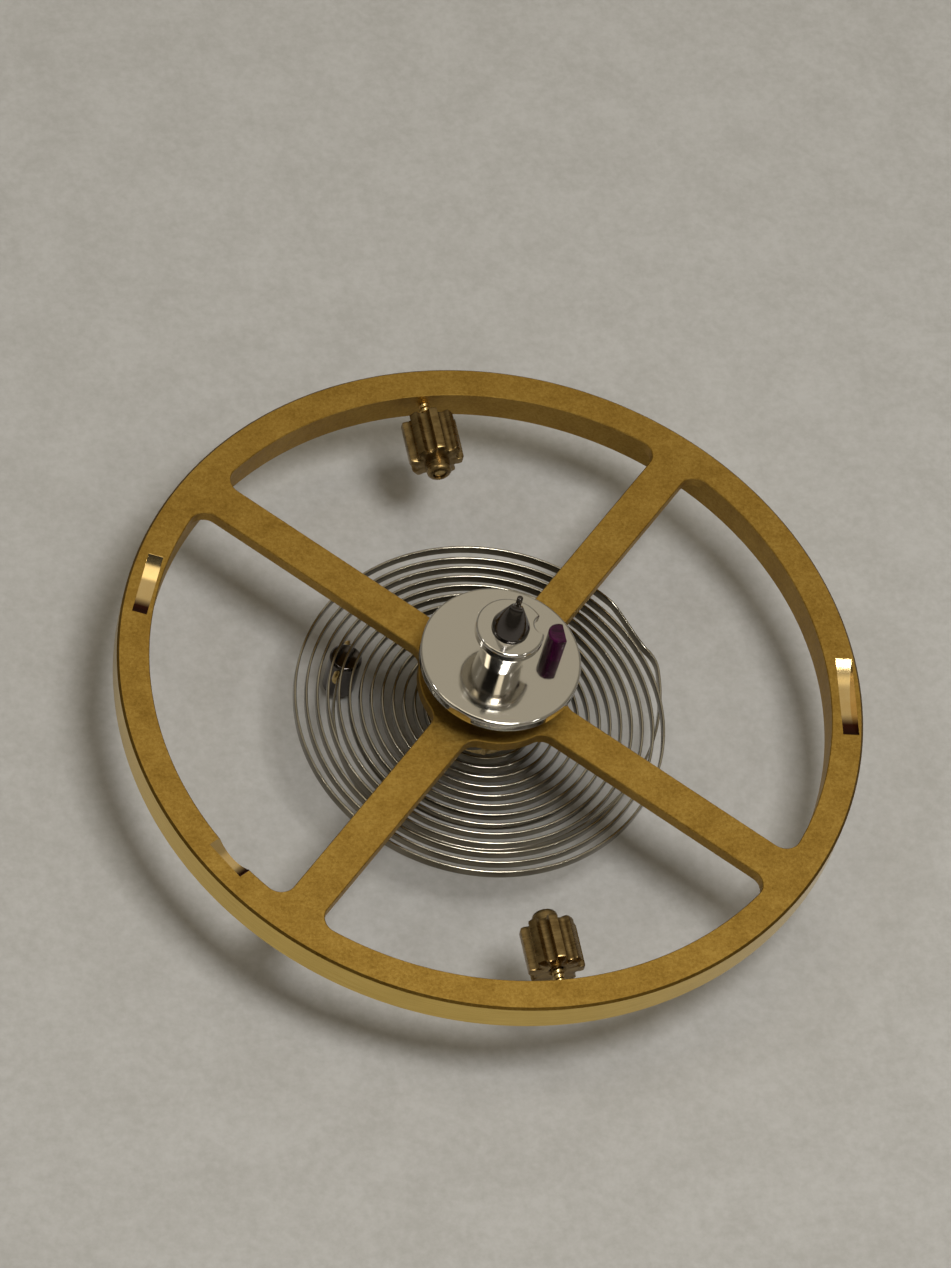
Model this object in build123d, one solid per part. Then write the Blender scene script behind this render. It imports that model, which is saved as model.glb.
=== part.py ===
"""A watch's complete balance: wheel, staff, double roller, impulse jewel, star nuts and hairspring.

Millimetres. +Z runs along the staff towards the roller and the dial, and +X points from the staff to the
impulse jewel. Heights below are counted from the middle of the rim. Each finished piece is then lifted, so
that the origin is at the tip of the staff's cock-side pivot, which is the lowest point.
"""
import os
from math import asin, atan2, cos, degrees, hypot, radians, sin, sqrt

import numpy as np

from build123d import *

# Wheel
WHEEL_RADIUS = 5.0
RIM_WIDTH = 0.43
RIM_HEIGHT = 0.46
RIM_BEVEL = 0.03
ARM_COUNT = 4
ARM_WIDTH = 0.53
ARM_THICKNESS = 0.175
ARM_CORNER = 0.22
WHEEL_HUB_RADIUS = 1.0
FIRST_ARM_AZIMUTH = 45.0

# Poising cuts in the rim's face: where they lie, as shares of the rim's width from its inner wall
LONG_CUT_LENGTH = 1.2
LONG_CUT_WIDTH = 0.22
LONG_CUT_DEPTH = 0.14
LONG_CUT_AZIMUTH = -8.4
LONG_CUT_SHARE = 0.53
SHORT_CUT_LENGTH = 0.95
SHORT_CUT_WIDTH = 0.2
SHORT_CUT_DEPTH = 0.12
SHORT_CUT_AZIMUTH = 156.6
SHORT_CUT_SHARE = 0.36
SCOOP_LENGTH = 0.6
SCOOP_WIDTH = 0.2
SCOOP_DEPTH = 0.11
SCOOP_AZIMUTH = -149.4
SCOOP_SHARE = 0.14

# Staff
STAFF_LENGTH = 3.75
PIVOT_RADIUS = 0.04
PIVOT_LENGTH = 0.15
PIVOT_ROUNDING = 0.012
FLARE_RADIUS = 0.18
CONE_TIP_RADIUS = 0.1
CONE_LENGTH = 0.38
DIAL_COLLAR_RADIUS = 0.25
DIAL_COLLAR_HEIGHT = 0.04
ROLLER_SEAT_RADIUS = 0.21
SHOULDER_RADIUS = 0.32
SHOULDER_HEIGHT = 0.14
FLANGE_RADIUS = 0.62
FLANGE_HEIGHT = 0.25
WHEEL_SEAT_RADIUS = 0.45
RIVET_SPREAD = 0.08
RIVET_HEIGHT = 0.05
COLLET_SEAT_RADIUS = 0.26
COLLET_SEAT_OVERLAP = 0.03
COCK_ARBOR_RADIUS = 0.21
COCK_CONE_LENGTH = 0.3

# Double roller
DISC_RADIUS = 1.075
DISC_THICKNESS = 0.18
DISC_ROUNDING = 0.05
SAFETY_RADIUS = 0.455
SAFETY_HEIGHT = 0.69
SAFETY_THICKNESS = 0.17
SAFETY_ROUNDING = 0.035
NECK_RADIUS = 0.29
NECK_TOP_RADIUS = 0.35
CRESCENT_RADIUS = 0.17
CRESCENT_DEPTH = 0.12

# Impulse jewel
JEWEL_DISTANCE = 0.711
JEWEL_RADIUS = 0.15
JEWEL_FLAT = 0.07
JEWEL_RISE = 0.46
JEWEL_TAIL = 0.05

# Star nuts and their posts
NUT_LENGTH = 0.66
NUT_RADIUS = 0.375
NUT_FLUTES = 8
FLUTE_RADIUS = 0.08
FLUTE_DEPTH = 0.09
BOSS_RADIUS = 0.17
BOSS_LENGTH = 0.2
BOSS_BEVEL = 0.06
NUT_STANDOFFS = {"a": 0.29, "b": 0.25}
POST_RADIUS = 0.08
POST_CLEARANCE = 0.012
POST_SUNK = 0.25
POST_RECESS = 0.03
NUT_AZIMUTHS = {"a": 90.0, "b": -90.0}

# Hairspring: a flat spiral, a sloping knee and an overcoil one level further from the wheel
SPRING_DROP = 0.6
SPRING_RADIUS = 2.62
SPRING_PITCH = 0.1456
KNEE_BOW = 0.037
STRIP_THICKNESS = 0.035
STRIP_HEIGHT = 0.14
KNEE_AZIMUTH = 36.0
KNEE_LENGTH = 0.72
KNEE_DROP = 0.33
BEND_RADIUS = 0.5
BEND_TURN = 40.0
OVERCOIL_RADIUS = 1.96
OVERCOIL_END_AZIMUTH = 153.0

# Collet
COLLET_RADIUS = 0.52
COLLET_HEIGHT = 0.45
COLLET_SPLIT = 0.07
COLLET_HOLE_OFFSET = 0.38
COLLET_COIL_GAP = 0.07
HOLE_RADIUS = 0.09
STRIP_TAIL = 0.06
PIN_TAIL = 0.1

# Stud
STUD_RADIUS = 0.22
STUD_LENGTH = 0.7
STUD_HEAD = 0.15
STUD_BEVEL = 0.03

# What every cut may run past a face
OVERRUN = 0.2

# Worked out from the sizes above
RIM_INNER = WHEEL_RADIUS - RIM_WIDTH
WHEEL_TOP = RIM_HEIGHT / 2
WHEEL_UNDER = WHEEL_TOP - ARM_THICKNESS
FLANGE_TOP = WHEEL_TOP + FLANGE_HEIGHT
ROLLER_BASE = FLANGE_TOP + SHOULDER_HEIGHT
DISC_TOP = ROLLER_BASE + DISC_THICKNESS
SAFETY_TOP = DISC_TOP + SAFETY_HEIGHT
SAFETY_UNDER = SAFETY_TOP - SAFETY_THICKNESS
FLARE_WIDTH = CONE_TIP_RADIUS - PIVOT_RADIUS
FLARE_LENGTH = sqrt(FLARE_RADIUS**2 - (FLARE_RADIUS - FLARE_WIDTH) ** 2)
DIAL_FLARE = SAFETY_TOP + DIAL_COLLAR_HEIGHT + CONE_LENGTH
DIAL_TIP = DIAL_FLARE + FLARE_LENGTH + PIVOT_LENGTH
COLLET_TOP = -SPRING_DROP + COLLET_HEIGHT / 2
COLLET_SEAT_END = COLLET_TOP - COLLET_HEIGHT - COLLET_SEAT_OVERLAP
COCK_TIP = DIAL_TIP - STAFF_LENGTH
COCK_FLARE = COCK_TIP + PIVOT_LENGTH + FLARE_LENGTH
COCK_CONE = COCK_FLARE + COCK_CONE_LENGTH
POST_END = RIM_INNER - max(NUT_STANDOFFS.values()) - NUT_LENGTH - BOSS_LENGTH + POST_RECESS
COIL_STEP = SPRING_PITCH / 2
HALF_STRIP = STRIP_THICKNESS / 2
OVERCOIL_DROP = SPRING_DROP + KNEE_DROP
ARM_STEP = 360.0 / ARM_COUNT


def polar(radius, azimuth):
    """The point at a radius and an azimuth in degrees."""
    return Vector(radius * cos(radians(azimuth)), radius * sin(radians(azimuth)))


def disc(radius, low, high):
    """A plain cylinder on the staff's axis between two heights."""
    return Pos(0, 0, low) * Cylinder(radius, high - low, align=(Align.CENTER, Align.CENTER, Align.MIN))


def radial(azimuth, distance):
    """A place on the wheel's middle plane whose own Z points outwards along a radius."""
    return Rot(0, 0, azimuth) * Pos(distance, 0, 0) * Rot(0, 90, 0)


def rod(radius, length):
    """A cylinder that starts at its place and runs along that place's Z."""
    return Cylinder(radius, length, align=(Align.CENTER, Align.CENTER, Align.MIN))


def rim():
    """The rim's ring, with its two outer edges bevelled."""
    half = RIM_HEIGHT / 2
    outline = Polyline(
        (RIM_INNER, -half),
        (WHEEL_RADIUS - RIM_BEVEL, -half),
        (WHEEL_RADIUS, -half + RIM_BEVEL),
        (WHEEL_RADIUS, half - RIM_BEVEL),
        (WHEEL_RADIUS - RIM_BEVEL, half),
        (RIM_INNER, half),
        close=True,
    )
    return revolve(Plane.XZ * make_face(outline), Axis.Z)


def window():
    """The opening between two arms, with rounded corners, on the azimuths from 0 to one arm step."""
    ring = Circle(RIM_INNER) - Circle(WHEEL_HUB_RADIUS)
    beside = Pos(0, ARM_WIDTH / 2) * Rectangle(
        2 * WHEEL_RADIUS, 2 * WHEEL_RADIUS, align=(Align.CENTER, Align.MIN)
    )
    before = Rot(0, 0, ARM_STEP) * Pos(0, -ARM_WIDTH / 2) * Rectangle(
        2 * WHEEL_RADIUS, 2 * WHEEL_RADIUS, align=(Align.CENTER, Align.MAX)
    )
    opening = ring & beside & before
    return fillet(opening.vertices(), ARM_CORNER)


def poising_cut(length, width, depth, azimuth, share):
    """A cut along the rim's face by a disc cutter, so its floor is an arc that is deepest in the middle."""
    cutter_radius = (length**2 / 4 + depth**2) / (2 * depth)
    height = WHEEL_TOP - depth + cutter_radius
    place = Rot(0, 0, azimuth) * Pos(RIM_INNER + share * RIM_WIDTH, 0, height)
    return place * Rot(0, 90, 0) * Cylinder(cutter_radius, width)


def balance_wheel():
    """Rim, arms and hub in one piece, with the staff's hole, the posts' holes and the poising cuts."""
    plate = disc(RIM_INNER, WHEEL_UNDER, WHEEL_TOP)
    opening = extrude(window(), RIM_HEIGHT + OVERRUN, both=True)
    for arm in range(ARM_COUNT):
        plate -= Rot(0, 0, FIRST_ARM_AZIMUTH + arm * ARM_STEP) * opening
    wheel = rim() + plate
    wheel -= disc(WHEEL_SEAT_RADIUS, WHEEL_UNDER - OVERRUN, WHEEL_TOP + OVERRUN)
    for azimuth in NUT_AZIMUTHS.values():
        wheel -= radial(azimuth, RIM_INNER - OVERRUN) * rod(POST_RADIUS, POST_SUNK + OVERRUN)
    wheel -= poising_cut(
        LONG_CUT_LENGTH, LONG_CUT_WIDTH, LONG_CUT_DEPTH, LONG_CUT_AZIMUTH, LONG_CUT_SHARE
    )
    wheel -= poising_cut(
        SHORT_CUT_LENGTH, SHORT_CUT_WIDTH, SHORT_CUT_DEPTH, SHORT_CUT_AZIMUTH, SHORT_CUT_SHARE
    )
    wheel -= poising_cut(SCOOP_LENGTH, SCOOP_WIDTH, SCOOP_DEPTH, SCOOP_AZIMUTH, SCOOP_SHARE)
    return wheel


def pivot_outline(root, tip):
    """The flare and the pivot from the cone's tip to the staff's end: edges in radius and height."""
    way = 1 if tip > root else -1
    start = root + way * FLARE_LENGTH
    turn = asin(FLARE_LENGTH / FLARE_RADIUS) / 2
    middle = (
        PIVOT_RADIUS + FLARE_RADIUS * (1 - cos(turn)),
        start - way * FLARE_RADIUS * sin(turn),
    )
    return [
        ThreePointArc((CONE_TIP_RADIUS, root), middle, (PIVOT_RADIUS, start)),
        Line((PIVOT_RADIUS, start), (PIVOT_RADIUS, tip - way * PIVOT_ROUNDING)),
        Line((PIVOT_RADIUS, tip - way * PIVOT_ROUNDING), (PIVOT_RADIUS - PIVOT_ROUNDING, tip)),
        Line((PIVOT_RADIUS - PIVOT_ROUNDING, tip), (0, tip)),
    ]


def balance_staff():
    """The arbor, turned from one bar, with the wheel's rivet spread against the hub's under face."""
    steps = Polyline(
        (CONE_TIP_RADIUS, DIAL_FLARE),
        (DIAL_COLLAR_RADIUS, SAFETY_TOP + DIAL_COLLAR_HEIGHT),
        (DIAL_COLLAR_RADIUS, SAFETY_TOP),
        (ROLLER_SEAT_RADIUS, SAFETY_TOP),
        (ROLLER_SEAT_RADIUS, ROLLER_BASE),
        (SHOULDER_RADIUS, ROLLER_BASE),
        (SHOULDER_RADIUS, FLANGE_TOP),
        (FLANGE_RADIUS, FLANGE_TOP),
        (FLANGE_RADIUS, WHEEL_TOP),
        (WHEEL_SEAT_RADIUS, WHEEL_TOP),
        (WHEEL_SEAT_RADIUS, WHEEL_UNDER),
        (WHEEL_SEAT_RADIUS + RIVET_SPREAD, WHEEL_UNDER),
        (WHEEL_SEAT_RADIUS, WHEEL_UNDER - RIVET_HEIGHT),
        (COLLET_SEAT_RADIUS, WHEEL_UNDER - RIVET_HEIGHT),
        (COLLET_SEAT_RADIUS, COLLET_SEAT_END),
        (COCK_ARBOR_RADIUS, COLLET_SEAT_END),
        (COCK_ARBOR_RADIUS, COCK_CONE),
        (CONE_TIP_RADIUS, COCK_FLARE),
    )
    middle = Line((0, DIAL_TIP), (0, COCK_TIP))
    edges = pivot_outline(DIAL_FLARE, DIAL_TIP) + steps.edges() + pivot_outline(COCK_FLARE, COCK_TIP)
    edges.append(middle)
    return revolve(Plane.XZ * make_face(edges), Axis.Z)


def jewel_section():
    """The jewel's D: a circle with its outer side cut flat."""
    past = Pos(JEWEL_FLAT, 0) * Rectangle(
        JEWEL_RADIUS, 2 * JEWEL_RADIUS, align=(Align.MIN, Align.CENTER)
    )
    return Pos(JEWEL_DISTANCE, 0) * (Circle(JEWEL_RADIUS) - past)


def roller_table():
    """Disc, neck and safety roller in one piece, with the crescent and the holes for staff and jewel."""
    large = disc(DISC_RADIUS, ROLLER_BASE, DISC_TOP)
    large = fillet(large.edges().filter_by(GeomType.CIRCLE), DISC_ROUNDING)
    neck_height = SAFETY_UNDER - DISC_TOP
    neck = Pos(0, 0, DISC_TOP + neck_height / 2) * Cone(NECK_RADIUS, NECK_TOP_RADIUS, neck_height)
    small = disc(SAFETY_RADIUS, SAFETY_UNDER, SAFETY_TOP)
    small = fillet(small.edges().filter_by(GeomType.CIRCLE), SAFETY_ROUNDING)
    reach = SAFETY_RADIUS - CRESCENT_DEPTH + CRESCENT_RADIUS
    crescent = Pos(reach, 0) * disc(CRESCENT_RADIUS, DISC_TOP + neck_height / 4, SAFETY_TOP + OVERRUN)
    table = large + (neck + small - crescent)
    table -= disc(ROLLER_SEAT_RADIUS, ROLLER_BASE - OVERRUN, SAFETY_TOP + OVERRUN)
    table -= Pos(0, 0, ROLLER_BASE - OVERRUN) * extrude(jewel_section(), DISC_THICKNESS + 2 * OVERRUN)
    return table


def impulse_jewel():
    """The ruby pin, standing through the disc."""
    length = JEWEL_TAIL + DISC_THICKNESS + JEWEL_RISE
    return Pos(0, 0, ROLLER_BASE - JEWEL_TAIL) * extrude(jewel_section(), length)


def nut_post(azimuth):
    """The threaded post, sunk in the rim's inner wall and ending inside the nut's boss."""
    return radial(azimuth, POST_END) * rod(POST_RADIUS, RIM_INNER + POST_SUNK - POST_END)


def star_nut(azimuth, standoff):
    """The fluted nut with its round boss towards the staff, free to turn on the post."""
    inner = RIM_INNER - standoff - NUT_LENGTH
    section = Circle(NUT_RADIUS)
    flute = Pos(NUT_RADIUS - FLUTE_DEPTH + FLUTE_RADIUS, 0) * Circle(FLUTE_RADIUS)
    for number in range(NUT_FLUTES):
        section -= Rot(0, 0, (number + 0.5) * 360.0 / NUT_FLUTES) * flute
    nut = radial(azimuth, inner) * extrude(section, NUT_LENGTH)
    boss = rod(BOSS_RADIUS, BOSS_LENGTH)
    boss = chamfer(boss.edges().filter_by(GeomType.CIRCLE).sort_by(Axis.Z)[0], BOSS_BEVEL)
    nut += radial(azimuth, inner - BOSS_LENGTH) * boss
    hole = rod(POST_RADIUS + POST_CLEARANCE, BOSS_LENGTH + NUT_LENGTH + 2 * OVERRUN)
    return nut - radial(azimuth, inner - BOSS_LENGTH - OVERRUN) * hole


def spiral_path():
    """The flat spiral from its outer end in, as arcs (centre, radius, start, sweep) in the knee's frame.

    The first half turn is bowed out at the knee. Half turns follow about two centres half a coil step
    apart, then a quarter turn that leads to the collet's hole.
    """
    inner_limit = COLLET_RADIUS + COLLET_COIL_GAP + HALF_STRIP
    outer = SPRING_RADIUS - KNEE_BOW
    half_turns = int((outer - inner_limit) / COIL_STEP)
    half_turns -= (half_turns + 1) % 2
    bowed = (COIL_STEP + KNEE_BOW) / 2
    arcs = [(Vector(bowed, 0), SPRING_RADIUS - bowed, 0.0, 180.0)]
    for turn in range(1, half_turns):
        side = -1 if turn % 2 else 1
        radius = outer - (turn + 0.5) * COIL_STEP
        arcs.append((Vector(side * COIL_STEP / 2, 0), radius, 180.0 * turn, 180.0))
    inner = outer - half_turns * COIL_STEP
    arcs.append((Vector(COLLET_HOLE_OFFSET - inner, 0), COLLET_HOLE_OFFSET, 180.0, 90.0))
    return arcs


def overcoil_path():
    """The overcoil from the knee to the stud: a short bend, a closing arc and an arc about the axis."""
    bend_centre = Vector(SPRING_RADIUS - BEND_RADIUS, -KNEE_LENGTH)
    bend_end = bend_centre + polar(BEND_RADIUS, -BEND_TURN)
    inward = polar(1, 180.0 - BEND_TURN)
    closing = (OVERCOIL_RADIUS**2 - bend_end.length**2) / (2 * (bend_end.dot(inward) + OVERCOIL_RADIUS))
    centre = bend_end + inward * closing
    touch = degrees(atan2(-centre.Y, -centre.X))
    end = OVERCOIL_END_AZIMUTH - KNEE_AZIMUTH - 360.0
    return [
        (bend_centre, BEND_RADIUS, 0.0, -BEND_TURN),
        (centre, closing, -BEND_TURN, touch + BEND_TURN),
        (Vector(0, 0), OVERCOIL_RADIUS, touch, end - touch),
    ]


def on_arc(arc, share, offset):
    """A point on an arc of a path, a share of the way along it, and so far outside its line."""
    centre, radius, start, sweep = arc
    return centre + polar(radius + offset, start + share * sweep)


def straight_end(path, length, offset):
    """The point so far beyond a path's end along its tangent, and so far outside its line."""
    sweep = path[-1][3]
    heading = path[-1][2] + sweep + (90.0 if sweep > 0 else -90.0)
    return on_arc(path[-1], 1, offset) + polar(length, heading)


def ribbon(path, tail):
    """The strip's flat outline along a path of tangent arcs, with a straight tail."""
    middle_share = 0.5
    edges = []
    for offset in (-HALF_STRIP, HALF_STRIP):
        for arc in path:
            first = on_arc(arc, 0, offset)
            last = on_arc(arc, 1, offset)
            edges.append(ThreePointArc(first, on_arc(arc, middle_share, offset), last))
        edges.append(Line(on_arc(path[-1], 1, offset), straight_end(path, tail, offset)))
    edges.append(Line(on_arc(path[0], 0, -HALF_STRIP), on_arc(path[0], 0, HALF_STRIP)))
    edges.append(Line(straight_end(path, tail, -HALF_STRIP), straight_end(path, tail, HALF_STRIP)))
    return make_face(edges)


def collet_tail():
    """How far the strip runs straight from the last arc's end to its cut end past the collet."""
    inner = -on_arc(spiral_path()[-1], 0, 0).X
    chord = sqrt(COLLET_RADIUS**2 - COLLET_HOLE_OFFSET**2)
    return inner - COLLET_HOLE_OFFSET + chord + STRIP_TAIL


def stud_tail():
    """How far the strip runs straight from the overcoil's last arc to its cut end past the stud."""
    return 2 * (STUD_RADIUS + STRIP_TAIL)


def knee_frame():
    """The frame whose X runs through the flat spiral's outer end."""
    return Rot(0, 0, KNEE_AZIMUTH)


def hairspring():
    """The whole strip in one piece: flat spiral, sloping knee and overcoil."""
    half = STRIP_HEIGHT / 2
    flat = Pos(0, 0, -SPRING_DROP - half) * extrude(ribbon(spiral_path(), collet_tail()), STRIP_HEIGHT)
    over = Pos(0, 0, -OVERCOIL_DROP - half) * extrude(ribbon(overcoil_path(), stud_tail()), STRIP_HEIGHT)
    side = Polyline(
        (0, -SPRING_DROP - half),
        (0, -SPRING_DROP + half),
        (-KNEE_LENGTH, -OVERCOIL_DROP + half),
        (-KNEE_LENGTH, -OVERCOIL_DROP - half),
        close=True,
    )
    knee = Pos(SPRING_RADIUS - HALF_STRIP, 0, 0) * extrude(Plane.YZ * make_face(side), STRIP_THICKNESS)
    return knee_frame() * (flat + knee + over)


def pin_section():
    """A round pin filed flat to lie against the strip's outer side, which is towards this face's +X."""
    strip_side = Pos(-HOLE_RADIUS, 0) * Rectangle(
        HOLE_RADIUS + HALF_STRIP, 2 * HOLE_RADIUS, align=(Align.MIN, Align.CENTER)
    )
    return Circle(HOLE_RADIUS) - strip_side


def collet_hole_place():
    """The middle of the collet's hole, with Z along the hole and X away from the staff."""
    spot = knee_frame() * Pos(0, -COLLET_HOLE_OFFSET, -SPRING_DROP)
    return spot * Rot(0, 0, -90) * Rot(90, 0, 0)


def hairspring_collet():
    """The split ring on the staff, with the hole that the strip's inner end is pinned in."""
    ring = disc(COLLET_RADIUS, COLLET_TOP - COLLET_HEIGHT, COLLET_TOP)
    ring -= disc(COLLET_SEAT_RADIUS, COLLET_TOP - COLLET_HEIGHT - OVERRUN, COLLET_TOP + OVERRUN)
    cut = Rectangle(COLLET_SPLIT, COLLET_RADIUS + OVERRUN, align=(Align.CENTER, Align.MIN))
    ring -= knee_frame() * Pos(0, 0, COLLET_TOP) * extrude(cut, COLLET_HEIGHT + OVERRUN, both=True)
    return ring - collet_hole_place() * Cylinder(HOLE_RADIUS, 2 * COLLET_RADIUS)


def collet_pin():
    """The flattened pin beside the strip in the collet's hole."""
    length = 2 * (sqrt(COLLET_RADIUS**2 - COLLET_HOLE_OFFSET**2) + PIN_TAIL)
    return collet_hole_place() * Pos(0, 0, -length / 2) * extrude(pin_section(), length)


def stud_place():
    """The stud's axis at the overcoil's height, with Y along the strip and X away from the staff."""
    path = overcoil_path()
    middle = straight_end(path, stud_tail() / 2, 0)
    heading = straight_end(path, stud_tail(), 0) - middle
    along = degrees(atan2(heading.Y, heading.X))
    return knee_frame() * Pos(middle.X, middle.Y, -OVERCOIL_DROP) * Rot(0, 0, along + 90)


def hairspring_stud():
    """The post that holds the strip's outer end: it stands away from the wheel, into the cock."""
    post = Pos(0, 0, STUD_HEAD) * Cylinder(
        STUD_RADIUS, STUD_LENGTH, align=(Align.CENTER, Align.CENTER, Align.MAX)
    )
    post = chamfer(post.edges().filter_by(GeomType.CIRCLE), STUD_BEVEL)
    hole = Rot(90, 0, 0) * Cylinder(HOLE_RADIUS, 2 * STUD_RADIUS + OVERRUN)
    return stud_place() * (post - hole)


def stud_pin():
    """The flattened pin beside the strip in the stud's hole."""
    length = 2 * (STUD_RADIUS + PIN_TAIL)
    return stud_place() * Rot(90, 0, 0) * Pos(0, 0, -length / 2) * extrude(pin_section(), length)


def coil_gap():
    """The least gap between the strip's own coils, from points along the flat spiral."""
    points = []
    for arc in spiral_path()[:-1]:
        points += [on_arc(arc, step / 60, 0) for step in range(60)]
    spots = np.array([(point.X, point.Y) for point in points])
    far = len(spots)
    least = SPRING_RADIUS
    for number, spot in enumerate(spots):
        ahead = spots[number + 60 : far]
        if len(ahead):
            least = min(least, float(np.hypot(*(ahead - spot).T).min()))
    return least - STRIP_THICKNESS


def write(name, solid):
    """Lifts one piece so that the staff's tip is at the origin, names it and writes its file."""
    solid = Pos(0, 0, -COCK_TIP) * solid
    solid.label = name
    export_step(solid, f"parts/{name}.step")


def main():
    """Builds every piece and writes it under its node's name."""
    os.makedirs("parts", exist_ok=True)
    write("balance_wheel", balance_wheel())
    write("balance_staff", balance_staff())
    write("roller_table", roller_table())
    write("impulse_jewel", impulse_jewel())
    write("hairspring", hairspring())
    write("hairspring_collet", hairspring_collet())
    write("collet_pin", collet_pin())
    write("hairspring_stud", hairspring_stud())
    write("stud_pin", stud_pin())
    for letter, azimuth in NUT_AZIMUTHS.items():
        write(f"nut_post_{letter}", nut_post(azimuth))
        write(f"star_nut_{letter}", star_nut(azimuth, NUT_STANDOFFS[letter]))
    print(f"staff from {COCK_TIP:.4f} to {DIAL_TIP:.4f} mm, so the rim's middle is {-COCK_TIP:.4f} mm up")
    print(f"{len(spiral_path()) - 1} half turns, least gap between coils {coil_gap():.3f} mm")
    foot = stud_place().position
    print(f"stud axis at ({foot.X:.3f}, {foot.Y:.3f}), {hypot(foot.X, foot.Y):.3f} mm from the staff")
    print(f"stud from {foot.Z + STUD_HEAD - STUD_LENGTH - COCK_TIP:.4f} mm up")


main()
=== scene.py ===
"""A watch's balance, dressed for a close view.

It has a gilt wheel with two star nuts, a polished steel roller with a ruby pin, and a flat steel hairspring.
Lengths are in millimetres until a mesh is made. The frame is the CAD model's: +Z along the staff towards the
roller, +X through the ruby pin and the origin at the staff's lower tip. Heights are counted from the middle
of the rim, and each mesh is lifted as it is made.
"""
import math

import bmesh
import bpy
import numpy as np
from mathutils import Matrix


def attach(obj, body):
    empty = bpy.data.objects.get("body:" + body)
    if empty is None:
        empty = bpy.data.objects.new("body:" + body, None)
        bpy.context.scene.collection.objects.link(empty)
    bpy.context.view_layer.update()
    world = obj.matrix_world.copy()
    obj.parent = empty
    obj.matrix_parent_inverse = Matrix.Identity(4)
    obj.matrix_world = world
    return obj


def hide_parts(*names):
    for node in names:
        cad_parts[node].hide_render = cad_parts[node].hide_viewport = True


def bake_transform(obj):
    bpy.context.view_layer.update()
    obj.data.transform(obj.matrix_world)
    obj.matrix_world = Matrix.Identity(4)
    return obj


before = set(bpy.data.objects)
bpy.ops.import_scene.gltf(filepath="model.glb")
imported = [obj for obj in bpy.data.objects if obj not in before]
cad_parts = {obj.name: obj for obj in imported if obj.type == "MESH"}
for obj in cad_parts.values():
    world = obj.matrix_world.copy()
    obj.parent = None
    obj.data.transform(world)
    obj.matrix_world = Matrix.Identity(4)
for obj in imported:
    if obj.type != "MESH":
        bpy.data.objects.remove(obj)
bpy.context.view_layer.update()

# A millimetre and the distance at which points merge, in metres, and the angle from which edges are sharp
MM = 0.001
MERGE = 2e-8
SHARP_ANGLE = math.radians(32)
FULL_TURN = 2 * math.pi
QUARTER_TURN = math.pi / 2

# Wheel
WHEEL_RADIUS = 5.0
RIM_WIDTH = 0.43
RIM_HEIGHT = 0.46
RIM_BEVEL = 0.03
EDGE_BEVEL = 0.012
ARMS = 4
ARM_WIDTH = 0.53
ARM_THICKNESS = 0.175
ARM_CORNER = 0.22
HUB_RADIUS = 1.0
WHEEL_BORE = 0.45
FIRST_ARM_AZIMUTH = 45.0
RIM_INNER = WHEEL_RADIUS - RIM_WIDTH
WHEEL_TOP = RIM_HEIGHT / 2
WHEEL_UNDER = WHEEL_TOP - ARM_THICKNESS

# Points on half a window's edge: by the rim, round a corner, by an arm and by the hub, and rows over a face
RIM_POINTS = 161
CORNER_POINTS = 12
ARM_POINTS = 14
HUB_POINTS = 9
FACE_ROWS = 9

# Poising cuts by a disc cutter: azimuth, distance from the staff, length, width, depth
POISING_CUTS = (
    (-8.4, RIM_INNER + 0.53 * RIM_WIDTH, 1.2, 0.22, 0.14),
    (156.6, RIM_INNER + 0.36 * RIM_WIDTH, 0.95, 0.2, 0.12),
    (-149.4, RIM_INNER + 0.14 * RIM_WIDTH, 0.6, 0.2, 0.11),
)

# Painted shade: each cut is painted dark brown at its end towards this azimuth, the camera's side, from one
# share of its half length and over another
SHADED_END_AZIMUTH = -100.0
CUT_SHADE_FROM = 0.35
CUT_SHADE_FADE = 0.3

# Upward parts of a face's normal: it is upright below the first and level above the second
UPRIGHT = 0.3
LEVEL = 0.9

# Staff
STAFF_LENGTH = 3.75
STAFF_EDGE = 0.012
PIVOT_RADIUS = 0.04
PIVOT_LENGTH = 0.15
PIVOT_ROUNDING = 0.02
FLARE_RADIUS = 0.18
CONE_TIP_RADIUS = 0.1
CONE_LENGTH = 0.38
DIAL_COLLAR_RADIUS = 0.25
DIAL_COLLAR_HEIGHT = 0.04
ROLLER_SEAT_RADIUS = 0.21
SHOULDER_RADIUS = 0.32
FLANGE_RADIUS = 0.62
FLANGE_TOP = WHEEL_TOP + 0.25
ROLLER_BASE = FLANGE_TOP + 0.14
RIVET_SPREAD = 0.08
RIVET_HEIGHT = 0.05
COLLET_SEAT_RADIUS = 0.26
COLLET_SEAT_END = -0.855
COCK_ARBOR_RADIUS = 0.21
COCK_CONE_LENGTH = 0.3

# Double roller and ruby pin
DISC_RADIUS = 1.075
DISC_TOP = ROLLER_BASE + 0.18
DISC_ROUNDING = 0.05
SAFETY_RADIUS = 0.455
NECK_RADIUS = 0.29
NECK_TOP_RADIUS = 0.35
SAFETY_TOP = DISC_TOP + 0.69
SAFETY_UNDER = SAFETY_TOP - 0.17
SAFETY_ROUNDING = 0.035
SEAT_CHAMFER = 0.02
CRESCENT_RADIUS = 0.17
CRESCENT_REACH = SAFETY_RADIUS - 0.12 + CRESCENT_RADIUS
JEWEL_DISTANCE = 0.711
JEWEL_RADIUS = 0.15
JEWEL_FLAT = 0.07
JEWEL_BEVEL = 0.016
JEWEL_TOP = DISC_TOP + 0.46
JEWEL_FOOT = ROLLER_BASE - 0.05
FLARE_LENGTH = math.sqrt(FLARE_RADIUS**2 - (FLARE_RADIUS - CONE_TIP_RADIUS + PIVOT_RADIUS) ** 2)
DIAL_TIP = SAFETY_TOP + DIAL_COLLAR_HEIGHT + CONE_LENGTH + FLARE_LENGTH + PIVOT_LENGTH
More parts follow.
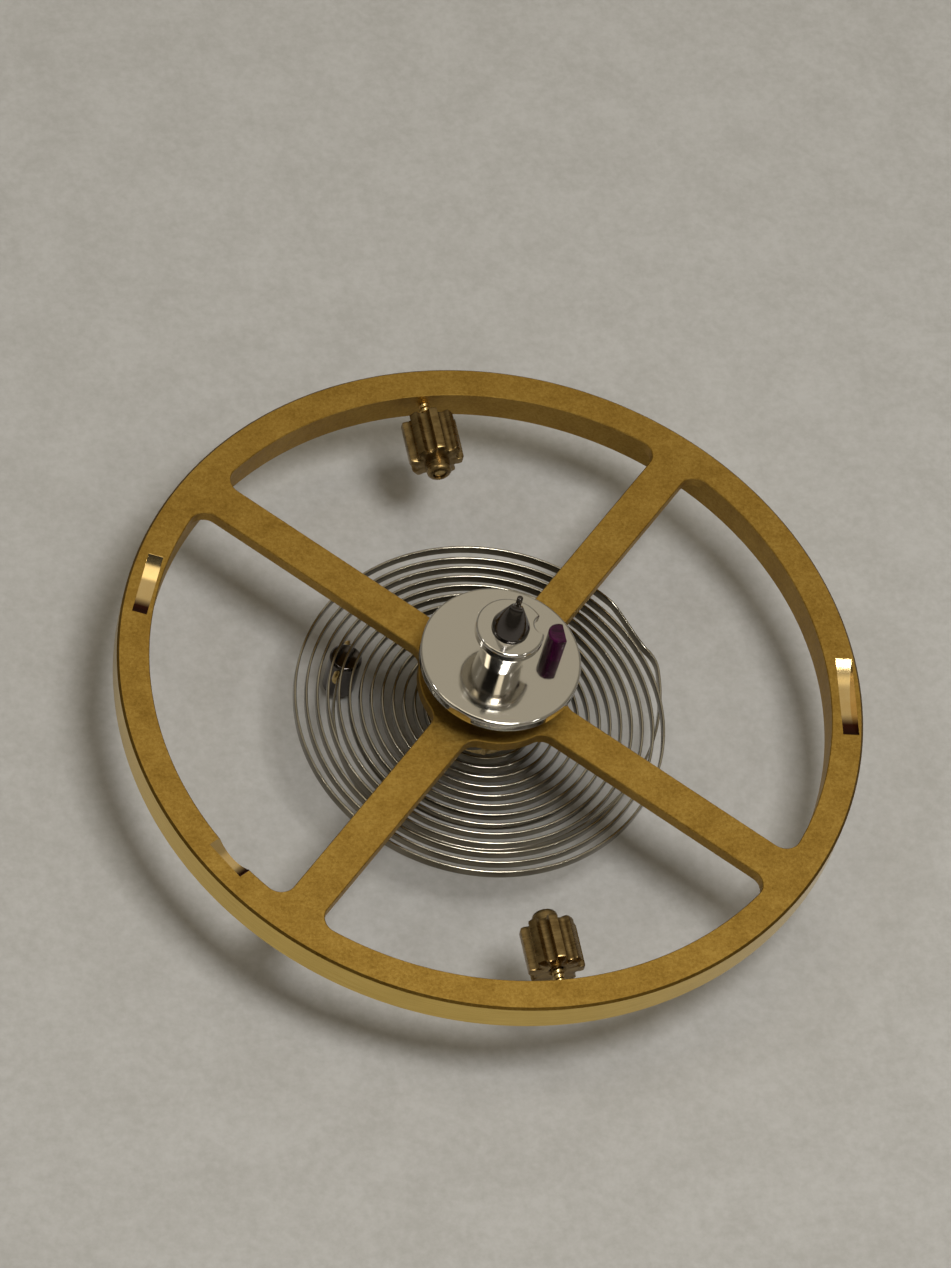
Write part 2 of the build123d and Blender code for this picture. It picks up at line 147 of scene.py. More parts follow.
COCK_TIP = DIAL_TIP - STAFF_LENGTH

# Star nuts and posts
NUT_AZIMUTHS = {"a": 90.0, "b": -90.0}
NUT_STANDOFFS = {"a": 0.29, "b": 0.25}
NUT_LENGTH = 0.66
NUT_RADIUS = 0.375
NUT_FLUTES = 8
NUT_BEVEL = 0.022
NUT_SHOULDER = 0.05
NUT_LIP = 0.03
FLUTE_RADIUS = 0.08
FLUTE_DEPTH = 0.09
BOSS_RADIUS = 0.17
BOSS_LENGTH = 0.2
BOSS_ROUNDING = 0.07
BOSS_LIP = NUT_LIP / 3
POST_RADIUS = 0.08
POST_END_RING = 0.6 * POST_RADIUS
POST_BORE = POST_RADIUS + 0.012
POST_INNER = RIM_INNER - max(NUT_STANDOFFS.values()) - NUT_LENGTH - BOSS_LENGTH + 0.03
POST_OUTER = RIM_INNER + 0.25
THREAD_PITCH = 0.07
THREAD_DEPTH = 0.014
THREAD_ROWS = 10

# A row of points this far beyond a rounding keeps the face next to it flat in smooth shading
ROLLER_HOLD = 0.003
NUT_HOLD = 0.005

# A bevel's middle row lies this share of its width from both its faces, so it looks round
BEVEL_BULGE = 0.3

# Hairspring
SPRING_HEIGHT = -0.6
SPRING_RADIUS = 2.62
SPRING_PITCH = 0.1456
HALF_TURNS = 27
STATION_STEP = 2.5
STRIP_THICKNESS = 0.035
STRIP_HEIGHT = 0.14
STRIP_ROUNDING = 0.014
KNEE_AZIMUTH = 36.0
KNEE_BOW = 0.037
KNEE_LENGTH = 0.72
KNEE_DROP = 0.33
KNEE_STRAIGHT = 0.55
KNEE_POINTS = 24
BEND_RADIUS = 0.5
BEND_TURN = 40.0
OVERCOIL_RADIUS = 1.96
OVERCOIL_END_AZIMUTH = 153.0

# Painted light and shade on the strip: a face is painted bright from one upward part of its normal and more
# so over another, and upright sides stay painted dark
LIT_EDGE_FROM = 0.1
LIT_EDGE_FADE = 0.5

# Collet, stud and their pins
COLLET_RADIUS = 0.52
COLLET_TOP = SPRING_HEIGHT + 0.225
COLLET_UNDER = COLLET_TOP - 0.45
COLLET_ROUNDING = 0.02
COLLET_SPLIT = 0.07
COLLET_HOLE_OFFSET = 0.38
COLLET_CHORD = math.sqrt(COLLET_RADIUS**2 - COLLET_HOLE_OFFSET**2)
HOLE_RADIUS = 0.09
STRIP_TAIL = 0.06
PIN_TAIL = 0.1
PIN_END_SCALE = 0.85
PIN_BODY_SHARE = 0.46
STUD_RADIUS = 0.22
STUD_LENGTH = 0.7
STUD_HEAD = 0.15
STUD_BEVEL = 0.03
STUD_ROUNDING = 0.02

# Shades of each finish, from its darkest places to its lightest
GILT_SHADES = ((0.264, 0.150, 0.026), (0.365, 0.220, 0.044), (0.465, 0.300, 0.070))
TURNED_GILT_SHADES = ((0.66, 0.46, 0.115), (0.78, 0.56, 0.160))
BARE_SHADES = ((0.84, 0.60, 0.26), (0.94, 0.73, 0.38))
# painted shade: the brown that darkens the rim's upper bevel
BEVEL_SHADE_BROWN = (0.05, 0.025, 0.004, 1)
# painted shade: the dark brown on each cut's end towards the camera's side
CUT_END_SHADE_BROWN = (0.085, 0.020, 0.010, 1)
NUT_SHADES = ((0.185, 0.122, 0.048), (0.29, 0.205, 0.090))
BRASS_SHADES = ((0.52, 0.36, 0.13), (0.70, 0.53, 0.24))
# painted shade on the strip's upright sides, and painted light on its upward edges
STRIP_SHADED_SIDE_COLOURS = ((0.11, 0.095, 0.066), (0.18, 0.157, 0.115))
STRIP_LIT_EDGE_COLOURS = ((0.34, 0.315, 0.26), (0.50, 0.470, 0.40))
RUBY_SHADES = ((0.022, 0.0008, 0.014), (0.075, 0.004, 0.050))
CLOTH_SHADES = ((0.425, 0.419, 0.406), (0.495, 0.491, 0.484))

# The floor's half width in metres, and its height, just under the lower tip
FLOOR_HALF = 0.4
FLOOR_HEIGHT = -0.01

# Lamps and room
LAMP_WHITE = (1.0, 0.98, 0.94)
WINDOW_WHITE = (1.0, 0.985, 0.95)
ROOM_CREAM = (1.0, 0.90, 0.70, 1)


# Directions, outlines and grids


def about(axis, degrees):
    """A turn about an axis of the frame."""
    return Matrix.Rotation(math.radians(degrees), 4, axis)


def direction(azimuth, elevation=0.0):
    """The unit vector at an azimuth and an elevation in degrees, by their cosines and sines."""
    turn = math.radians(azimuth)
    rise = math.radians(elevation)
    return np.array([math.cos(rise) * math.cos(turn), math.cos(rise) * math.sin(turn), math.sin(rise)])


def circle(turn, radius=1.0):
    """Plan points on a circle at turns in radians: the radius times each turn's cosine and sine."""
    return radius * np.stack([np.cos(turn), np.sin(turn)], -1)


def at_height(plan, height):
    """Plan points lifted to one height, or each to its own."""
    return np.concatenate([plan, np.broadcast_to(height, plan.shape[:-1])[..., None]], -1)


def ring_points(radius, azimuth, height):
    """Points at radii, azimuths in degrees and heights, whose shapes broadcast together."""
    radius, azimuth, height = np.broadcast_arrays(radius, np.radians(azimuth), height)
    return np.stack([radius * np.cos(azimuth), radius * np.sin(azimuth), height], -1)


def carried_round(outline, azimuth):
    """An outline of (radius, height) points, one row for each, carried round through azimuths in degrees."""
    outline = np.asarray(outline)
    return ring_points(outline[:, :1], azimuth, outline[:, 1:])


def quarter(radius, count):
    """A rounding from a flat face to a wall: each point's distance in from the wall and up from the face.

    They are the radius times one less the sine and one less the cosine of an angle up to a quarter turn.
    """
    bend = np.linspace(0, QUARTER_TURN, count)
    return radius * (1 - np.stack([np.sin(bend), np.cos(bend)], -1))


def land(radius, first, last):
    """A turned length's two corners, which share a radius."""
    return [(radius, first), (radius, last)]


def closed_by_chord(arc, count):
    """An arc's outline closed by points along its chord."""
    return np.concatenate([arc, np.linspace(arc[-1], arc[0], count)[1:-1]])


def softened(corners, radius, steps=4):
    """An open outline of (radius, height) corners, each inner one rounded by a parabola near a radius.

    A point just beyond each end of a rounding keeps the straight stretch next to it flat in smooth shading.
    """
    most_of_side = 0.45
    nearly_straight = 1.55
    least = 1e-6
    beyond = 0.1
    corners = np.array(corners, float)
    out = [corners[0]]
    share = np.linspace(0, 1, steps + 1)[:, None]
    for before, corner, after in zip(corners[:-2], corners[1:-1], corners[2:]):
        inward = before - corner
        onward = after - corner
        reach_in = np.hypot(*inward)
        reach_on = np.hypot(*onward)
        inward = inward / reach_in
        onward = onward / reach_on
        half = math.acos(float(np.clip(inward @ onward, -1, 1))) / 2
        cut = 0
        if half < nearly_straight:
            cut = min(radius / math.tan(half), most_of_side * reach_in, most_of_side * reach_on)
        if cut < least:
            out.append(corner)
            continue
        first = corner + inward * cut
        last = corner + onward * cut
        bend = (1 - share) ** 2 * first + 2 * share * (1 - share) * corner + share**2 * last
        out.append(first + inward * beyond * cut)
        out.extend(bend)
        out.append(last + onward * beyond * cut)
    out.append(corners[-1])
    return np.array(out)


def grid(points, wrap_rows=False, wrap_cols=False):
    """A patch: points of shape (rows, columns, 3) and the quads between them, closed round where asked."""
    rows, cols = points.shape[:2]
    row_starts = np.arange(rows if wrap_rows else rows - 1)
    col_starts = np.arange(cols if wrap_cols else cols - 1)
    r, c = np.meshgrid(row_starts, col_starts, indexing="ij")
    r_next = (r + 1) % rows
    c_next = (c + 1) % cols
    quads = np.stack([r * cols + c, r * cols + c_next, r_next * cols + c_next, r_next * cols + c], -1)
    return points.reshape(-1, 3), quads.reshape(-1, 4)


def lathe(outline, segments=128):
    """A turned solid: an outline of (radius, height), from the axis back to the axis, carried round it."""
    return [grid(carried_round(outline, np.linspace(0, 360, segments, endpoint=False)), wrap_cols=True)]


def round_skin(rows, azimuth):
    """A closed skin round a bore from rows of (radius, height), whose radius may differ at each azimuth."""
    points = np.stack([ring_points(radius, azimuth, height) for radius, height in rows])
    return [grid(points, wrap_rows=True, wrap_cols=True)]


def bitten_circle(turn, radius, reach, bite):
    """A circle's radius at turns in radians, less what a smaller circle bites out of it about turn nought.

    The smaller one's centre is a reach away. Its near side is at the reach times the cosine, less the root of
    its radius squared less the square of the reach times the sine.
    """
    under_root = bite**2 - (reach * np.sin(turn)) ** 2
    near_side = reach * np.cos(turn) - np.sqrt(np.maximum(under_root, 0))
    inside = (under_root > 0) & (np.cos(turn) > 0)
    return np.where(inside, np.minimum(near_side, radius), radius)


def drawn_up(section, centre, rows):
    """A solid from an outline: at each row's height, the outline scaled about a centre."""
    points = np.stack([at_height(centre + (section - centre) * scale, height) for height, scale in rows])
    return [grid(points, wrap_cols=True)]


# Meshes and objects


def new_mesh(name, points, faces):
    """A mesh in metres in the object's frame: points merged where they meet, and faces turned outwards."""
    mesh = bpy.data.meshes.new(name)
    mesh.from_pydata(((points - (0, 0, COCK_TIP)) * MM).tolist(), [], faces.tolist())
    work = bmesh.new()
    work.from_mesh(mesh)
    bmesh.ops.remove_doubles(work, verts=work.verts, dist=MERGE)
    bmesh.ops.dissolve_degenerate(work, edges=work.edges, dist=MERGE)
    bmesh.ops.recalc_face_normals(work, faces=work.faces)
    work.to_mesh(mesh)
    work.free()
    return mesh


def add_object(name, data):
    """A new object in the scene."""
    thing = bpy.data.objects.new(name, data)
    bpy.context.scene.collection.objects.link(thing)
    return thing


def shade(mesh):
    """Smooth faces, with edges kept sharp from the sharp angle on."""
    mesh.shade_smooth()
    mesh.set_sharp_from_angle(angle=SHARP_ANGLE)


def piece(name, patches, material, body, node, place=None):
    """One closed piece from patches, put in its place, that stands for a node and rides on a body."""
    starts = np.cumsum([0] + [len(points) for points, _ in patches])
    points = np.concatenate([points for points, _ in patches])
    faces = np.concatenate([faces + start for (_, faces), start in zip(patches, starts)])
    if place is not None:
        points = points @ np.array(place.to_3x3()).T + np.array(place.translation)
    mesh = new_mesh(name, points, faces)
    shade(mesh)
    mesh.materials.append(material)
    thing = add_object(name, mesh)
    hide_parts(node)
    if body:
        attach(thing, body)
    return thing


def face_table(mesh):
    """The normals and the middles of a mesh's faces."""
    out = []
    for name in ("normal", "center"):
        values = np.zeros(len(mesh.polygons) * 3)
        mesh.polygons.foreach_get(name, values)
        out.append(values.reshape(-1, 3))
    return out


def mark(mesh, name, share):
    """Keeps a share from 0 to 1 on each of a mesh's faces, for its material to read."""
    mesh.attributes.new(name, "FLOAT", "FACE").data.foreach_set("value", np.asarray(share, float))


# Wheel


def window_edge():
    """One window between two arms: its edge, the way into the metal, and where the faces end beyond it.

    The cell's arms lie along X and Y. From the middle of the rim's arc the edge goes round a corner, along an
    arm, round the hub's corner and to the middle of the hub's arc, and the rest is the mirror image of that.
    The last two lists are the points on the bevel, the arm's middle line or the bore that the upper face runs
    to, and the same for the under face, which ends at the rim's inner wall.
    """
    half = ARM_WIDTH / 2
    corner = ARM_CORNER
    outer_y = math.sqrt((RIM_INNER - corner) ** 2 - (half + corner) ** 2)
    inner_y = math.sqrt((HUB_RADIUS + corner) ** 2 - (half + corner) ** 2)
    outer_turn = 90 - math.degrees(math.atan2(half + corner, outer_y))
    inner_turn = 90 - math.degrees(math.atan2(half + corner, inner_y))
    bevel_ring = WHEEL_RADIUS - RIM_BEVEL
    on_circle = CORNER_POINTS // 2 + 1
    on_line = CORNER_POINTS + 1 - on_circle

    def ring(radius, first, last, count):
        """Points on a circle about the staff."""
        return circle(np.radians(np.linspace(first, last, count)), radius)

    def rounding(middle, first, last):
        """A round corner's points, and the way from its centre to each."""
        way = ring(1.0, first, last, CORNER_POINTS)
        return middle + corner * way, way

    def arm_line(x, first, last, count):
        """Points on a line along the second arm."""
        return np.stack([np.full(count, x), np.linspace(first, last, count)], -1)

    def face_ends(radius):
        """A circle up to the arm's middle line, and then that line to the end of the rim's corner."""
        line = arm_line(0, radius, outer_y, on_line)
        return np.concatenate([ring(radius, outer_turn, 90, on_circle), line[1:]])

    rim = ring(RIM_INNER, 45, outer_turn, RIM_POINTS)
    rim_corner, rim_corner_way = rounding((half + corner, outer_y), outer_turn, 180)
    arm = arm_line(half, outer_y, inner_y, ARM_POINTS)
    arm_middle = arm_line(0, outer_y, inner_y, ARM_POINTS)
    hub_corner, hub_corner_way = rounding((half + corner, inner_y), 180, 180 + inner_turn)
    to_bore = arm_line(0, inner_y, WHEEL_BORE, on_line)
    hub_corner_end = np.concatenate([to_bore, ring(WHEEL_BORE, 90, inner_turn, on_circle)[1:]])
    hub = ring(HUB_RADIUS, inner_turn, 45, HUB_POINTS)
    bore = ring(WHEEL_BORE, inner_turn, 45, HUB_POINTS)
    parts = (
        (rim, rim / RIM_INNER, rim * bevel_ring / RIM_INNER, rim),
        (rim_corner, rim_corner_way, face_ends(bevel_ring), face_ends(RIM_INNER)),
        (arm, np.tile((-1.0, 0.0), (ARM_POINTS, 1)), arm_middle, arm_middle),
        (hub_corner, hub_corner_way, hub_corner_end, hub_corner_end),
        (hub, -hub / HUB_RADIUS, bore, bore),
    )
    out = []
    for first, *rest in zip(*parts):
        forward = np.concatenate([first, *(part[1:] for part in rest)])
        out.append(np.concatenate([forward, forward[::-1, ::-1][1:-1]]))
    return out


def wheel_patches():
    """Rim, arms and hub as one skin: each window's upper face, edge and under face, and the walls there."""
    edge, inward, top_end, under_end = window_edge()
    distance = np.hypot(*top_end.T)
    azimuth = np.round(np.degrees(np.arctan2(top_end[:, 1], top_end[:, 0])), 9)
    ring_azimuths = np.unique(azimuth[distance > WHEEL_RADIUS - 2 * RIM_BEVEL])
    bore_azimuths = np.unique(azimuth[distance < WHEEL_BORE + RIM_BEVEL])
    rim_profile = [
        *land(RIM_INNER, WHEEL_UNDER, -WHEEL_TOP),
        (WHEEL_RADIUS - RIM_BEVEL, -WHEEL_TOP),
        *land(WHEEL_RADIUS, RIM_BEVEL - WHEEL_TOP, WHEEL_TOP - RIM_BEVEL),
        (WHEEL_RADIUS - RIM_BEVEL, WHEEL_TOP),
    ]
    bore_profile = land(WHEEL_BORE, WHEEL_TOP, WHEEL_UNDER)
    share = np.linspace(0, 1, FACE_ROWS)[:, None, None]
    patches = []
    for cell in range(ARMS):
        first_arm = FIRST_ARM_AZIMUTH + 360 / ARMS * cell
        spin = np.array([direction(first_arm)[:2], direction(first_arm + 90)[:2]])
        lip = (edge + EDGE_BEVEL * inward) @ spin
        wall = edge @ spin
        face = at_height(lip + share * (top_end @ spin - lip), WHEEL_TOP)
        shoulder = at_height(wall, WHEEL_TOP - EDGE_BEVEL)[None]
        foot = at_height(wall, WHEEL_UNDER)[None]
        under = at_height(under_end @ spin, WHEEL_UNDER)[None]
        for upper, lower in ((shoulder, face), (shoulder, foot), (foot, under)):
            patches.append(grid(np.concatenate([upper, lower]), wrap_cols=True))
        patches.append(grid(carried_round(rim_profile, ring_azimuths + first_arm)))
        patches.append(grid(carried_round(bore_profile, bore_azimuths + first_arm)))
    return patches


def cutter_patch(azimuth, distance, length, width, depth):
    """A disc cutter lying across the rim, whose lowest arc makes the cut's floor.

    Its radius is the one whose chord at the rim's face is the cut's length, at the cut's depth.
    """
    radius = (length**2 / 4 + depth**2) / (2 * depth)
    turn = np.linspace(0, FULL_TURN, 360, endpoint=False)
    side = np.array([(0, -0.5), (1, -0.5), (1, 0.5), (0, 0.5)])
    across = (distance + side[:, 1:] * width)[..., None]
    along = (side[:, :1] * radius * np.sin(turn))[..., None]
    plan = across * direction(azimuth)[:2] + along * direction(azimuth + 90)[:2]
    height = WHEEL_TOP - depth + radius - side[:, :1] * radius * np.cos(turn)
    return grid(at_height(plan, height), wrap_cols=True)


def cut_end_shade_share(tool, cut):
    """How much painted shade each face of a cutter leaves on the metal: how far it lies towards the shaded
    end.
    """
    azimuth, distance, length = cut[:3]
    _, centre = face_table(tool)
    from_middle = centre[:, :2] / MM - distance * direction(azimuth)[:2]
    onward = from_middle @ direction(SHADED_END_AZIMUTH)[:2] / (length / 2)
    return np.clip((onward - CUT_SHADE_FROM) / CUT_SHADE_FADE, 0, 1)


def cut_away(thing):
    """Takes the poising cuts, each by its own closed cutter, out of the wheel."""
    for cut in POISING_CUTS:
        tool = new_mesh("cutter", *cutter_patch(*cut))
        zero = np.zeros(len(tool.polygons))
        mark(tool, "cut", zero + 1)
        # faces towards the shaded end leave painted shade on the cut
        mark(tool, "cut_end_shade", cut_end_shade_share(tool, cut))
        mark(tool, "turned", zero)
        mark(tool, "bevel_shade", zero)
        holder = add_object("cutter", tool)
        removal = thing.modifiers.new("cut", "BOOLEAN")
        removal.operation = "DIFFERENCE"
        removal.solver = "EXACT"
        removal.object = holder
        bpy.context.view_layer.update()
        evaluated = thing.evaluated_get(bpy.context.evaluated_depsgraph_get())
        done = bpy.data.meshes.new_from_object(evaluated)
        thing.modifiers.clear()
        thing.data = done
        bpy.data.objects.remove(holder)
    shade(thing.data)


def mark_wheel(mesh):
    """Marks the rim's outer wall, which is turned bright, and its upper bevel, which gets painted shade in
    brown.
    """
    normal, centre = face_table(mesh)
    upward = normal[:, 2]
    far_out = np.hypot(centre[:, 0], centre[:, 1]) > (WHEEL_RADIUS - 1.2 * RIM_BEVEL) * MM
    mark(mesh, "turned", far_out & (np.abs(upward) < UPRIGHT))
    # the upper bevel's faces, which the gilding darkens with painted shade
    mark(mesh, "bevel_shade", far_out & (upward > UPRIGHT) & (upward < LEVEL))
    mark(mesh, "cut", np.zeros(len(normal)))
    mark(mesh, "cut_end_shade", np.zeros(len(normal)))


# Staff, roller and ruby pin


def flare(root, tip):
    """The trumpet from a cone's tip to a pivot: an arc that touches the pivot's side.

    The radius is the pivot's plus the arc's times one less the cosine, and the height goes with the sine.
    """
    way = 1 if tip > root else -1
    turn = np.linspace(math.asin(FLARE_LENGTH / FLARE_RADIUS), 0, 12)
    radius = PIVOT_RADIUS + FLARE_RADIUS * (1 - np.cos(turn))
    return np.stack([radius, root + way * (FLARE_LENGTH - FLARE_RADIUS * np.sin(turn))], -1)


def pivot_end(tip):
    """The pivot's rounded end, from its side to the axis: a quarter arc and a flat."""
    way = 1 if tip > 0 else -1
    inset, rise = quarter(PIVOT_ROUNDING, 6)[::-1].T
    return np.concatenate([np.stack([PIVOT_RADIUS - inset, tip - way * rise], -1), [(0, tip)]])


def staff_patches():
    """The arbor: one turned outline from the dial tip to the cock tip, its shoulders slightly broken."""
    dial_root = DIAL_TIP - PIVOT_LENGTH - FLARE_LENGTH
    cock_root = COCK_TIP + PIVOT_LENGTH + FLARE_LENGTH
    dial = np.concatenate([pivot_end(DIAL_TIP)[::-1], flare(dial_root, DIAL_TIP)[::-1]])
    cock = np.concatenate([flare(cock_root, COCK_TIP), pivot_end(COCK_TIP)])
    steps = [
        tuple(dial[-1]),
        *land(DIAL_COLLAR_RADIUS, SAFETY_TOP + DIAL_COLLAR_HEIGHT, SAFETY_TOP),
        *land(ROLLER_SEAT_RADIUS, SAFETY_TOP, ROLLER_BASE),
        *land(SHOULDER_RADIUS, ROLLER_BASE, FLANGE_TOP),
        *land(FLANGE_RADIUS, FLANGE_TOP, WHEEL_TOP),
        *land(WHEEL_BORE, WHEEL_TOP, WHEEL_UNDER),
        (WHEEL_BORE + RIVET_SPREAD, WHEEL_UNDER),
        (WHEEL_BORE, WHEEL_UNDER - RIVET_HEIGHT),
        *land(COLLET_SEAT_RADIUS, WHEEL_UNDER - RIVET_HEIGHT, COLLET_SEAT_END),
        *land(COCK_ARBOR_RADIUS, COLLET_SEAT_END, cock_root + COCK_CONE_LENGTH),
        tuple(cock[0]),
    ]
    return lathe(np.concatenate([dial[:-1], softened(steps, STAFF_EDGE), cock[1:]]))


def roller_patches():
    """Disc, neck and safety roller as one skin: an outline carried round, its upper rows bitten."""
    sides = SAFETY_RADIUS**2 + CRESCENT_REACH**2 - CRESCENT_RADIUS**2
    lip = math.acos(sides / (2 * SAFETY_RADIUS * CRESCENT_REACH))
    bite = np.linspace(-lip, lip, 41) % FULL_TURN
    turn = np.unique(np.concatenate([np.linspace(lip, FULL_TURN - lip, 281), bite]))
    bitten = bitten_circle(turn, SAFETY_RADIUS, CRESCENT_REACH, CRESCENT_RADIUS)
    base = (ROLLER_SEAT_RADIUS, ROLLER_BASE)
    disc = [base, *land(DISC_RADIUS, ROLLER_BASE, DISC_TOP), (NECK_RADIUS, DISC_TOP)]
    rows = [*softened(disc, DISC_ROUNDING, 12)]
    for share in np.linspace(0, 1, 25)[1:]:
        neck = NECK_RADIUS + share * (NECK_TOP_RADIUS - NECK_RADIUS)
        rows.append((np.minimum(neck, bitten), DISC_TOP + share * (SAFETY_UNDER - DISC_TOP)))
    held = SAFETY_ROUNDING + ROLLER_HOLD
    edge = [(held, 0), *quarter(SAFETY_ROUNDING, 7), (0, held)]
    rows += [(bitten - inset, SAFETY_UNDER + rise) for inset, rise in edge]
    rows += [(bitten - inset, SAFETY_TOP - rise) for inset, rise in edge[::-1]]
    rows += [
        (ROLLER_SEAT_RADIUS + SEAT_CHAMFER + ROLLER_HOLD, SAFETY_TOP),
        (ROLLER_SEAT_RADIUS + SEAT_CHAMFER, SAFETY_TOP),
        (ROLLER_SEAT_RADIUS, SAFETY_TOP - SEAT_CHAMFER),
        (ROLLER_SEAT_RADIUS, ROLLER_BASE),
    ]
    return round_skin(rows, np.degrees(turn))


def jewel_patches():
    """The ruby pin: a D outline, round towards the staff and flat outwards, drawn up with bevelled ends."""
    end = math.acos(JEWEL_FLAT / JEWEL_RADIUS)
    arc = circle(np.linspace(end, FULL_TURN - end, 57), JEWEL_RADIUS)
    centre = np.array((JEWEL_DISTANCE, 0))
    narrowed = 1 - JEWEL_BEVEL / JEWEL_RADIUS
    rows = (
        (JEWEL_FOOT, 0),
        (JEWEL_FOOT, narrowed),
        (JEWEL_FOOT + JEWEL_BEVEL, 1),
        (JEWEL_TOP - JEWEL_BEVEL, 1),
        (JEWEL_TOP, narrowed),
        (JEWEL_TOP, 0),
    )
    return drawn_up(closed_by_chord(arc, 9) + centre, centre, rows)


# Star nuts and posts


def fluted_radius(turn):
    """The nut's radius round its axis: a circle with round flutes, its lips eased by a short running mean."""
    step = FULL_TURN / NUT_FLUTES
    away = (turn + step / 2) % step - step / 2
    radius = bitten_circle(away, NUT_RADIUS, NUT_RADIUS - FLUTE_DEPTH + FLUTE_RADIUS, FLUTE_RADIUS)
    kernel = np.ones(5) / 5
    return np.convolve(np.concatenate([radius[-2:], radius, radius[:2]]), kernel, "valid")


def nut_patches(standoff):
    """The star nut along Z: boss, fluted body and bore as one skin, whose rows are round or fluted."""
    outer = RIM_INNER - standoff
    inner = outer - NUT_LENGTH
    boss_end = inner - BOSS_LENGTH
    turn = np.linspace(0, FULL_TURN, 480, endpoint=False)
    fluted = fluted_radius(turn + math.pi / NUT_FLUTES)
    rows = [
        (POST_BORE, boss_end + BOSS_LIP),
        (POST_BORE + BOSS_LIP, boss_end),
        *((BOSS_RADIUS - inset, boss_end + rise) for inset, rise in quarter(BOSS_ROUNDING, 9)),
        (BOSS_RADIUS, boss_end + BOSS_ROUNDING + NUT_HOLD),
        (BOSS_RADIUS, inner),
        (fluted - NUT_SHOULDER, inner),
        (fluted - NUT_SHOULDER * BEVEL_BULGE, inner + NUT_SHOULDER * BEVEL_BULGE),
        (fluted, inner + NUT_SHOULDER),
        (fluted, inner + NUT_SHOULDER + NUT_HOLD),
        (fluted, outer - NUT_BEVEL - NUT_HOLD),
        (fluted, outer - NUT_BEVEL),
        (fluted - NUT_BEVEL * BEVEL_BULGE, outer - NUT_BEVEL * BEVEL_BULGE),
        (fluted - NUT_BEVEL, outer),
        (POST_BORE + NUT_LIP, outer),
        (POST_BORE, outer - NUT_LIP),
    ]
    return round_skin(rows, np.degrees(turn))


def post_patches():
    """The threaded post along Z: its radius falls in a triangle wave of height less turn."""
    azimuth = np.linspace(0, 360, 48, endpoint=False)
    count = int((POST_OUTER - POST_INNER) / THREAD_PITCH * THREAD_ROWS)
    height = np.linspace(POST_INNER, POST_OUTER, count)[:, None]
    phase = (height / THREAD_PITCH - azimuth / 360) % 1
    thread = ring_points(POST_RADIUS - THREAD_DEPTH * np.abs(2 * phase - 1), azimuth, height)
    inner_end = carried_round([(0, POST_INNER), (POST_END_RING, POST_INNER)], azimuth)
    outer_end = carried_round([(0, POST_OUTER)], azimuth)
    return [grid(np.concatenate([inner_end, thread, outer_end]), wrap_cols=True)]


# Hairspring


def arc_points(centre, radius, start, sweep):
    """Points along an arc with its end left out, an even few degrees apart."""
    count = max(int(abs(sweep) / STATION_STEP), 4)
    turn = np.radians(start + np.linspace(0, sweep, count, endpoint=False))
    return np.array(centre) + circle(turn, radius)


def coil_line():
    """The flat spiral from the knee inwards, in the knee's frame, and how many of its points are free.

    It is half turns about two centres half a coil step apart, the first bowed out a little, then a quarter
    turn to the collet's hole and a straight stretch through it.
    """
    step = SPRING_PITCH / 2
    outer = SPRING_RADIUS - KNEE_BOW
    bowed = (step + KNEE_BOW) / 2
    parts = [arc_points((bowed, 0), SPRING_RADIUS - bowed, 0, 180)]
    for turn in range(1, HALF_TURNS):
        side = -1 if turn % 2 else 1
        parts.append(arc_points((side * step / 2, 0), outer - (turn + 0.5) * step, 180 * turn, 180))
    entry = COLLET_HOLE_OFFSET - (outer - HALF_TURNS * step)
    parts.append(arc_points((entry, 0), COLLET_HOLE_OFFSET, 180, 90))
    free = sum(len(part) for part in parts)
    parts.append([(entry, -COLLET_HOLE_OFFSET), (COLLET_CHORD + STRIP_TAIL, -COLLET_HOLE_OFFSET)])
    return at_height(np.concatenate(parts), SPRING_HEIGHT), free


def knee_line():
    """The slope from the coils to the overcoil: straight in plan, its fall partly straight, partly eased."""
    share = np.linspace(0, 1, KNEE_POINTS + 1)[1:]
    ease = share * share * (3 - 2 * share)
    plan = np.stack([np.full(KNEE_POINTS, SPRING_RADIUS), -KNEE_LENGTH * share], -1)
    return at_height(plan, SPRING_HEIGHT - KNEE_DROP * (KNEE_STRAIGHT * share + (1 - KNEE_STRAIGHT) * ease))


def overcoil_line():
    """The overcoil from the knee to the stud: a short bend, an arc that closes in and an arc about the staff.

    The closing arc's centre lies on the bend's last radius, as far from the staff as its own radius and the
    last arc's differ, so that it touches both.
    """
    bend_centre = np.array([SPRING_RADIUS - BEND_RADIUS, -KNEE_LENGTH])
    outward = circle(-math.radians(BEND_TURN))
    bend_end = bend_centre + BEND_RADIUS * outward
    closing = (OVERCOIL_RADIUS**2 - bend_end @ bend_end) / (2 * (OVERCOIL_RADIUS - bend_end @ outward))
    centre = bend_end - outward * closing
    touch = math.degrees(math.atan2(-centre[1], -centre[0]))
    end = OVERCOIL_END_AZIMUTH - KNEE_AZIMUTH - 360
    foot = circle(math.radians(end), OVERCOIL_RADIUS)
    through_stud = circle(math.radians(end - 90), 2 * (STUD_RADIUS + STRIP_TAIL))
    parts = [
        arc_points(bend_centre, BEND_RADIUS, 0, -BEND_TURN)[1:],
        arc_points(centre, closing, -BEND_TURN, touch + BEND_TURN),
        arc_points((0, 0), OVERCOIL_RADIUS, touch, end - touch),
        [foot, foot + through_stud],
    ]
    return at_height(np.concatenate(parts), SPRING_HEIGHT - KNEE_DROP)


def strip_line():
    """The strip's middle line from the stud to the collet, in the knee's frame, and each point's share.

    The share is how far along the strip's free length the point lies: 0 in the stud and 1 in the collet.
    """
    over = overcoil_line()[::-1]
    knee = knee_line()[::-1]
    coils, free = coil_line()
    points = np.concatenate([over, knee, coils])
    steps = np.linalg.norm(np.diff(points, axis=0), axis=1)
    length = np.concatenate([[0], np.cumsum(steps)])
    first = length[1]
    last = length[len(over) + len(knee) + free]
    return points, np.clip((length - first) / (last - first), 0, 1)


